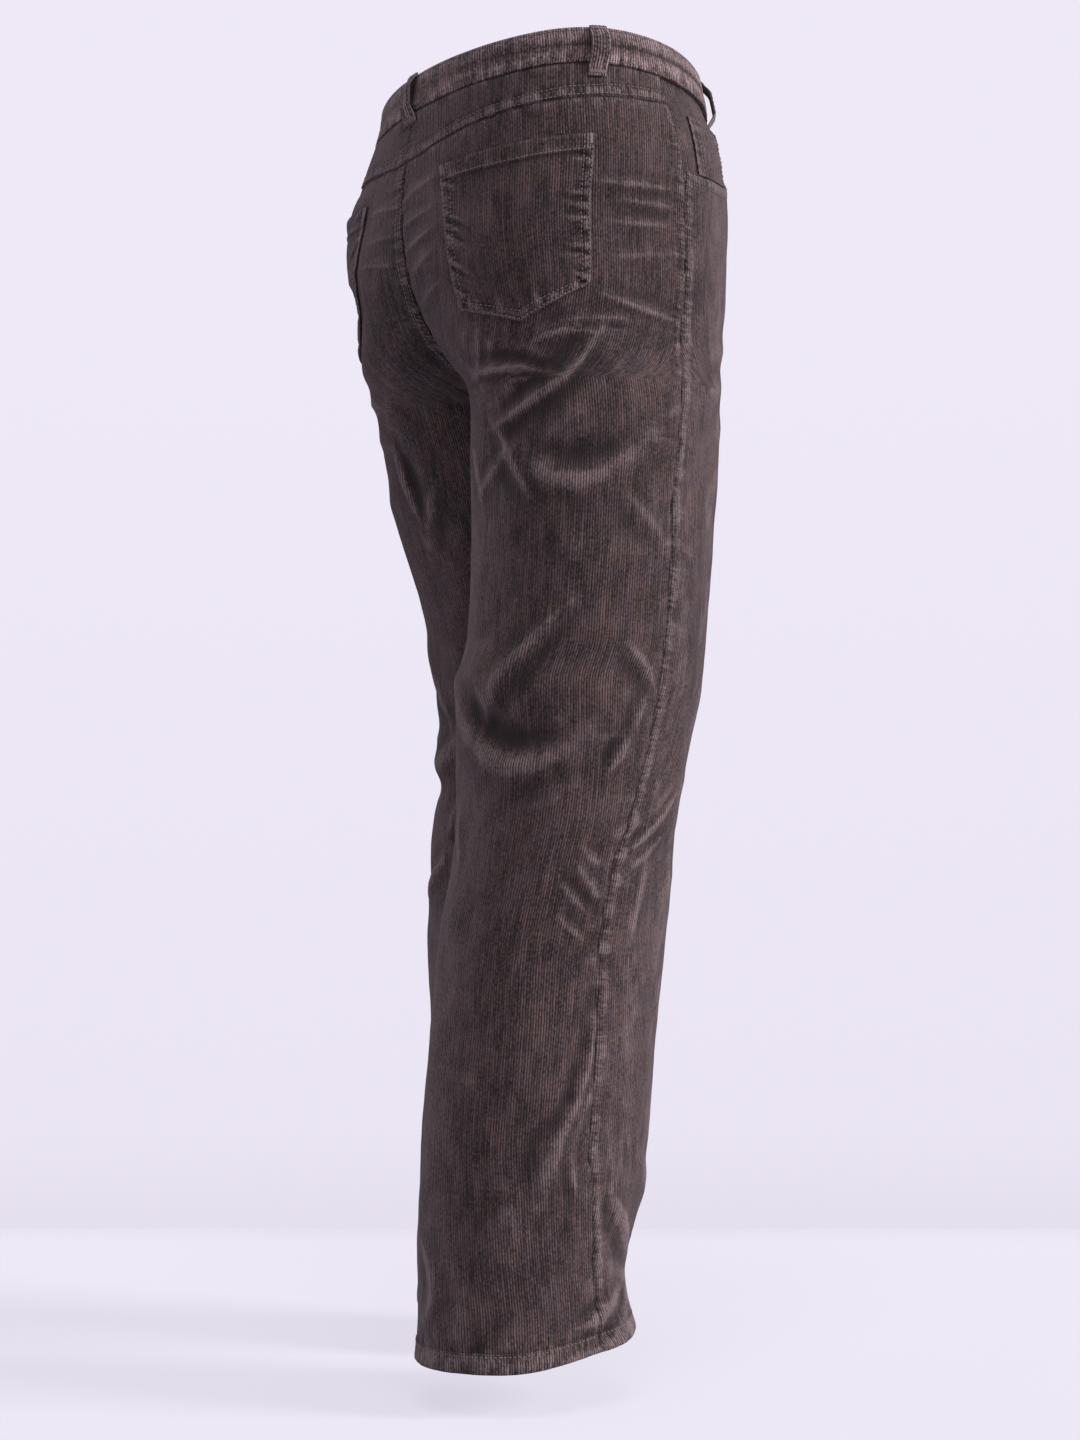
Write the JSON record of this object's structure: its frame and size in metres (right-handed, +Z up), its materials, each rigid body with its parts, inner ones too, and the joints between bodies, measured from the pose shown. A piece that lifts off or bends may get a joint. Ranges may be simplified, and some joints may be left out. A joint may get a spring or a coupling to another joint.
{
  "type": "corduroy trousers",
  "caption": "Worn, hollow five-pocket corduroy trousers with wide straight legs, waistband, belt loops, yokes and patch pockets, open at waist and hems.",
  "frame": {"origin": "centre of the waistband's top edge, where the wearer's waist holds it", "axes": "+Z up, the front faces -Y, the wearer's left is +X"},
  "size_m": [0.3653, 0.3276, 1.0409],
  "materials": {
    "corduroy": "fine wale cotton corduroy, washed dark brown-grey, velvety",
    "pocket_corduroy": "the same corduroy, rubbed lighter along its edges",
    "band_corduroy": "the same corduroy, doubled, with its wales upright",
    "zip_tape": "dark woven tape",
    "horn": "dark horn-coloured button, satin"
  },
  "bodies": {
    "root": {"front_right": "corduroy", "front_left": "corduroy", "back_right": "corduroy", "back_left": "corduroy", "yoke_right": "corduroy", "yoke_left": "corduroy", "pocket_facing_right": "corduroy", "pocket_facing_left": "corduroy", "coin_pocket": "corduroy", "fly_underlap": "corduroy", "back_pocket_right": "pocket_corduroy", "back_pocket_left": "pocket_corduroy", "waistband": "band_corduroy", "belt_loop_back": "band_corduroy", "belt_loop_right_back": "band_corduroy", "belt_loop_left_back": "band_corduroy", "belt_loop_right_front": "band_corduroy", "belt_loop_left_front": "band_corduroy", "fly_zip": "zip_tape", "waist_button": "horn"}
  },
  "joints": []
}
